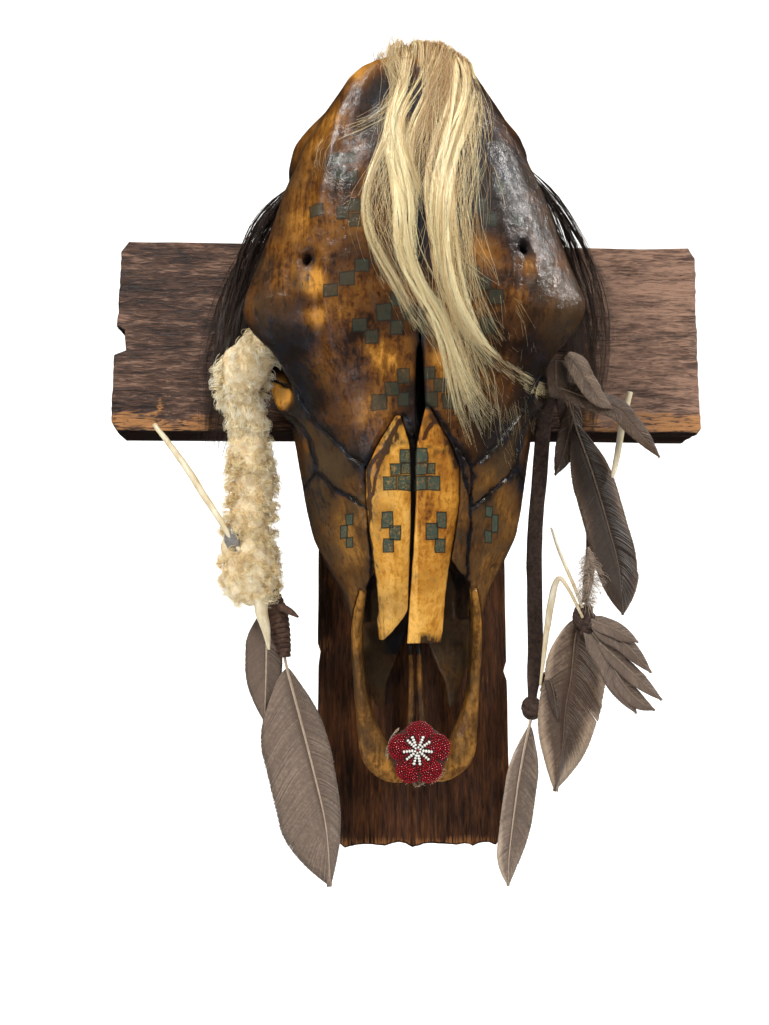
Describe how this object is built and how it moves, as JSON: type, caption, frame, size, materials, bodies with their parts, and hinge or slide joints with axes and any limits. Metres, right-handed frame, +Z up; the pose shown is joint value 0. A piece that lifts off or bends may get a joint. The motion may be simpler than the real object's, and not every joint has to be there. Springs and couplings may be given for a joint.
{
  "type": "decorated steer skull on a wooden cross",
  "caption": "Stained and painted polled steer skull on a cross of rough boards, with forelock, fleece, feathers, leather strap and a beaded rosette; it hangs flat on a wall.",
  "frame": {"origin": "on the wall, at the crossbar's mid-height, near the middle of the upright board's back face", "axes": "+Y into the wall, +Z up, +X to the viewer's right; the viewer stands at -Y"},
  "size_m": [0.4295, 0.2102, 0.5418],
  "materials": {
    "bone": "amber and blue-black stain under gloss varnish",
    "nasal_bone": "golden stain under gloss varnish",
    "stained_wood": "rough sawn, dark stained",
    "blond_hair": "pale glossy hair",
    "dark_hair": "glossy black horsehair",
    "fleece": "curly cream fleece on the hide",
    "feather": "soft grey-brown vanes",
    "down": "loose pale down",
    "quill": "dull horn, cream",
    "leather": "dark brown suede",
    "beads": "opaque glass seed beads, dark red and white"
  },
  "bodies": {
    "root": {"board_crossbar": "stained_wood", "board_upright": "stained_wood", "cranium": "bone", "frontal_left": "bone", "frontal_right": "bone", "lacrimal_left": "bone", "lacrimal_right": "bone", "zygomatic_left": "bone", "zygomatic_right": "bone", "maxilla_left": "bone", "maxilla_right": "bone", "nasal_left": "nasal_bone", "nasal_right": "nasal_bone", "incisive_left": "bone", "incisive_right": "bone", "rosette": "beads", "hair_blond": "blond_hair", "hair_dark_left": "dark_hair", "hair_dark_right": "dark_hair", "fleece": "fleece", "stick_left": "quill", "stick_right": "quill", "quill_left": "quill", "quill_upper": "quill", "quill_lower": "quill", "wrap_left": "leather", "strap": "leather", "strap_knot": "leather", "thong_top": "leather", "thong_right": "leather", "thong_knot": "leather", "feather_left_front": "feather", "feather_left_back": "feather", "feather_bent": "feather", "feather_small_dark": "feather", "feather_long": "feather", "feather_broad": "feather", "feather_split": "feather", "feather_slim": "feather", "feather_bottom": "feather", "down_right": "down"}
  },
  "joints": []
}
